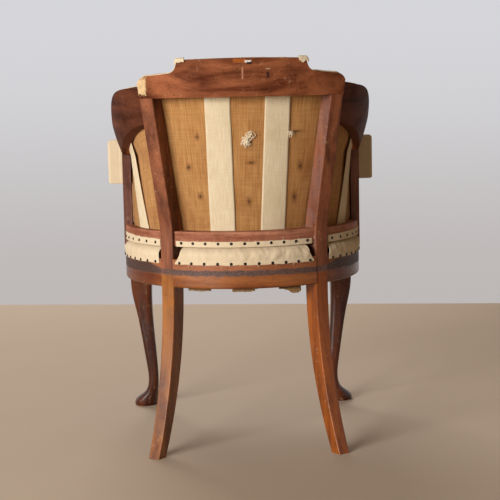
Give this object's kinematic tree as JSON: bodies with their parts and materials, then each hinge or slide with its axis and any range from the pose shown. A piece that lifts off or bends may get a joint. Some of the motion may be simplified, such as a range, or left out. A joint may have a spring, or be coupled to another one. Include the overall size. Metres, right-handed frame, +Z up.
{
  "type": "tub armchair",
  "caption": "Wooden tub armchair stripped for upholstery: bowed crest rail, wings, sabre back legs, cabriole front legs, hessian and calico on a sprung seat.",
  "frame": {"origin": "centre of the footprint, on the floor", "axes": "+Z up, -Y the way the sitter faces, +X the sitter's left"},
  "size_m": [0.576, 0.5802, 0.806],
  "materials": {
    "leg_wood": "worn polish",
    "seat_rail_wood": "polished below, bare above",
    "crest_wood": "bare, stained and tack-marked",
    "frame_wood": "bare",
    "hessian": "coarse weave",
    "jute_webbing": "coarse weave",
    "cotton_webbing": "matt",
    "calico": "matt",
    "tack_iron": "blued",
    "screw_steel": "dull",
    "spring_steel": "copper washed"
  },
  "bodies": {
    "root": {"arm_frame_dowels": "frame_wood", "arm_hessian_left": "hessian", "arm_hessian_right": "hessian", "arm_lower_rail_left": "frame_wood", "arm_lower_rail_right": "frame_wood", "arm_pad_left": "calico", "arm_pad_right": "calico", "arm_post_left": "frame_wood", "arm_post_right": "frame_wood", "arm_rail_left": "frame_wood", "arm_rail_right": "frame_wood", "arm_webbing_left": "cotton_webbing", "arm_webbing_right": "cotton_webbing", "back_frame_dowels": "frame_wood", "back_hessian": "hessian", "back_lower_rail": "frame_wood", "back_pad": "calico", "back_seat_rail": "seat_rail_wood", "back_webbing": "cotton_webbing", "block_screws": "screw_steel", "corner_blocks": "frame_wood", "crest_rail": "crest_wood", "front_leg_left": "leg_wood", "front_leg_right": "leg_wood", "front_seat_rail": "seat_rail_wood", "inside_arm_pad_left": "calico", "inside_arm_pad_right": "calico", "lower_edge_back": "calico", "lower_edge_left": "calico", "lower_edge_right": "calico", "lower_tacks": "tack_iron", "quarter_hessian_left": "hessian", "quarter_hessian_right": "hessian", "quarter_pad_left": "calico", "quarter_pad_right": "calico", "quarter_webbing_left": "cotton_webbing", "quarter_webbing_right": "cotton_webbing", "rear_post_left": "leg_wood", "rear_post_right": "leg_wood", "seat_edge_back": "calico", "seat_edge_front": "calico", "seat_edge_left": "calico", "seat_edge_right": "calico", "seat_frame_dowels": "frame_wood", "seat_hessian": "hessian", "seat_pad": "calico", "seat_springs": "spring_steel", "seat_tacks": "tack_iron", "seat_webbing": "jute_webbing", "side_lower_rail_left": "frame_wood", "side_lower_rail_right": "frame_wood", "side_seat_rail_left": "seat_rail_wood", "side_seat_rail_right": "seat_rail_wood", "wing_left": "crest_wood", "wing_post_left": "frame_wood", "wing_post_right": "frame_wood", "wing_right": "crest_wood"}
  },
  "joints": []
}
